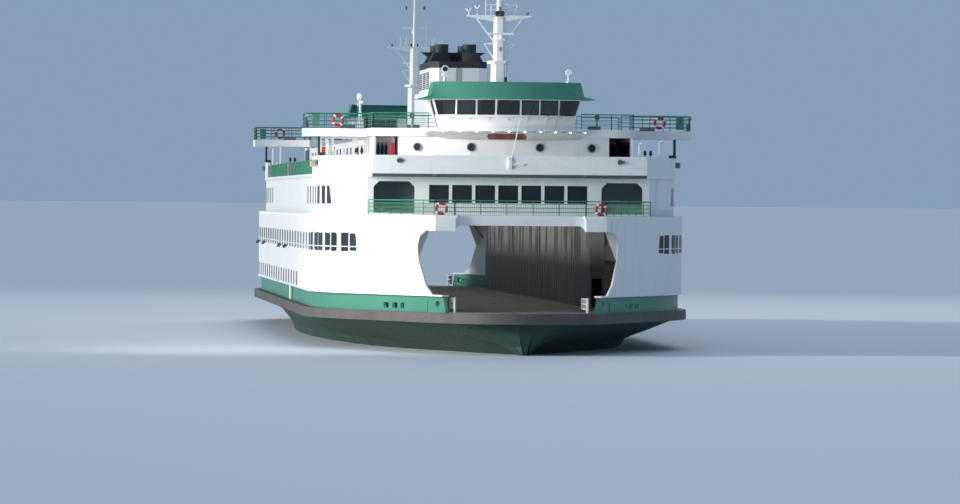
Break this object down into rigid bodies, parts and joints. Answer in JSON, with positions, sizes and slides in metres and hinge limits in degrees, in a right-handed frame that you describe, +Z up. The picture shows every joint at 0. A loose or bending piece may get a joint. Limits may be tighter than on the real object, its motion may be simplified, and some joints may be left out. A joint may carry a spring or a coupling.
{
  "type": "passenger and vehicle ferry, 1:10 scale model",
  "caption": "Double-ended passenger and vehicle ferry afloat with its whole hull, open car deck, wheelhouse and mast at each end, and a central funnel; 1:10 scale model.",
  "frame": {"origin": "on the waterline plane, amidships on the centreline", "axes": "+Y along the ship from end 1 to end 2, +X to port with end 1 leading, +Z up"},
  "size_m": [2.79, 14.02, 3.36],
  "materials": {
    "hull_paint": "satin dark green hull paint",
    "guard_steel": "scuffed grey steel rubbing belt",
    "deck_paint": "matt grey non-slip deck paint",
    "green_paint": "satin sea-green paint",
    "white_paint": "satin white paint",
    "casing_paint": "satin pale grey paint",
    "green_deck_paint": "matt green deck paint",
    "black_paint": "matt black funnel paint",
    "rail_paint": "satin green rail paint",
    "propeller_bronze": "bare cast bronze",
    "boat_shell": "glossy orange laminate"
  },
  "bodies": {
    "ship": {"hull": "hull_paint", "guard_belt": "guard_steel", "vehicle_deck": "deck_paint", "bulwark_strake_stbd": "green_paint", "bulwark_strake_port": "green_paint", "side_shell_stbd": "white_paint", "side_shell_port": "white_paint", "portal_1": "white_paint", "portal_2": "white_paint", "casing_stbd": "casing_paint", "casing_port": "casing_paint", "gallery_stbd": "deck_paint", "gallery_port": "deck_paint", "passenger_deck": "green_deck_paint", "cabin_side_stbd": "white_paint", "cabin_side_port": "white_paint", "cabin_end_1": "white_paint", "cabin_end_2": "white_paint", "sun_deck": "white_paint", "bridge_house_1": "white_paint", "bridge_house_2": "white_paint", "crew_house": "white_paint", "nav_deck_1": "white_paint", "nav_deck_2": "white_paint", "wheelhouse_1": "white_paint", "wheelhouse_2": "white_paint", "wheelhouse_roof_1": "green_paint", "wheelhouse_roof_2": "green_paint", "funnel_casing": "white_paint", "funnel_top": "black_paint", "mast_1": "white_paint", "mast_2": "white_paint", "end_rail_1": "rail_paint", "end_rail_2": "rail_paint", "nav_rail_1": "rail_paint", "nav_rail_2": "rail_paint", "sun_rail_stbd": "rail_paint", "sun_rail_port": "rail_paint", "raft_rack_stbd": "white_paint", "raft_rack_port": "white_paint", "jackstaff_1": "white_paint", "jackstaff_2": "white_paint"},
    "propeller_1": {"propeller_1": "propeller_bronze"},
    "propeller_2": {"propeller_2": "propeller_bronze"},
    "rudder_1": {"rudder_1": "hull_paint"},
    "rudder_2": {"rudder_2": "hull_paint"},
    "radar_low_1": {"radar_low_1": "white_paint"},
    "radar_low_2": {"radar_low_2": "white_paint"},
    "radar_high_1": {"radar_high_1": "white_paint"},
    "radar_high_2": {"radar_high_2": "white_paint"},
    "gate_stbd_1": {"gate_stbd_1": "white_paint"},
    "gate_port_1": {"gate_port_1": "white_paint"},
    "gate_stbd_2": {"gate_stbd_2": "white_paint"},
    "gate_port_2": {"gate_port_2": "white_paint"},
    "wheel_door_stbd_1": {"wheel_door_stbd_1": "white_paint"},
    "wheel_door_port_1": {"wheel_door_port_1": "white_paint"},
    "wheel_door_stbd_2": {"wheel_door_stbd_2": "white_paint"},
    "wheel_door_port_2": {"wheel_door_port_2": "white_paint"},
    "rescue_davit": {"rescue_davit": "white_paint", "rescue_boat": "boat_shell"}
  },
  "joints": [
    {"name": "propeller_1_spin", "type": "hinge", "parent": "ship", "child": "propeller_1", "pos_m": [0, -5.85, -0.33], "axis": [0, 1, 0], "continuous": true},
    {"name": "propeller_2_spin", "type": "hinge", "parent": "ship", "child": "propeller_2", "pos_m": [0, 5.85, -0.33], "axis": [0, 1, 0], "continuous": true},
    {"name": "rudder_1_turn", "type": "hinge", "parent": "ship", "child": "rudder_1", "pos_m": [0, -6.18, -0.33], "axis": [0, 0, 1], "range_deg": [-35, 35]},
    {"name": "rudder_2_turn", "type": "hinge", "parent": "ship", "child": "rudder_2", "pos_m": [0, 6.18, -0.33], "axis": [0, 0, 1], "range_deg": [-35, 35]},
    {"name": "radar_low_1_spin", "type": "hinge", "parent": "ship", "child": "radar_low_1", "pos_m": [0, -4.665, 2.247], "axis": [0, 0, 1], "continuous": true},
    {"name": "radar_low_2_spin", "type": "hinge", "parent": "ship", "child": "radar_low_2", "pos_m": [0, 4.665, 2.247], "axis": [0, 0, 1], "continuous": true},
    {"name": "radar_high_1_spin", "type": "hinge", "parent": "ship", "child": "radar_high_1", "pos_m": [0, -4.665, 2.552], "axis": [0, 0, 1], "continuous": true},
    {"name": "radar_high_2_spin", "type": "hinge", "parent": "ship", "child": "radar_high_2", "pos_m": [0, 4.665, 2.552], "axis": [0, 0, 1], "continuous": true},
    {"name": "gate_stbd_1_swing", "type": "hinge", "parent": "ship", "child": "gate_stbd_1", "pos_m": [-0.457, -6.56, 0.34], "axis": [0, 0, -1], "range_deg": [0, 90]},
    {"name": "gate_port_1_swing", "type": "hinge", "parent": "ship", "child": "gate_port_1", "pos_m": [0.457, -6.56, 0.34], "axis": [0, 0, 1], "range_deg": [0, 90]},
    {"name": "gate_stbd_2_swing", "type": "hinge", "parent": "ship", "child": "gate_stbd_2", "pos_m": [0.457, 6.56, 0.34], "axis": [0, 0, -1], "range_deg": [0, 90]},
    {"name": "gate_port_2_swing", "type": "hinge", "parent": "ship", "child": "gate_port_2", "pos_m": [-0.457, 6.56, 0.34], "axis": [0, 0, 1], "range_deg": [0, 90]},
    {"name": "wheel_door_stbd_1_slide", "type": "slide", "parent": "ship", "child": "wheel_door_stbd_1", "axis": [0, 1, 0], "range_m": [0, 0.078]},
    {"name": "wheel_door_port_1_slide", "type": "slide", "parent": "ship", "child": "wheel_door_port_1", "axis": [0, 1, 0], "range_m": [0, 0.078]},
    {"name": "wheel_door_stbd_2_slide", "type": "slide", "parent": "ship", "child": "wheel_door_stbd_2", "axis": [0, -1, 0], "range_m": [0, 0.078]},
    {"name": "wheel_door_port_2_slide", "type": "slide", "parent": "ship", "child": "wheel_door_port_2", "axis": [0, -1, 0], "range_m": [0, 0.078]},
    {"name": "rescue_davit_slew", "type": "hinge", "parent": "ship", "child": "rescue_davit", "pos_m": [-1.15, -3.15, 1.4], "axis": [0, 0, 1], "range_deg": [0, 90]}
  ]
}
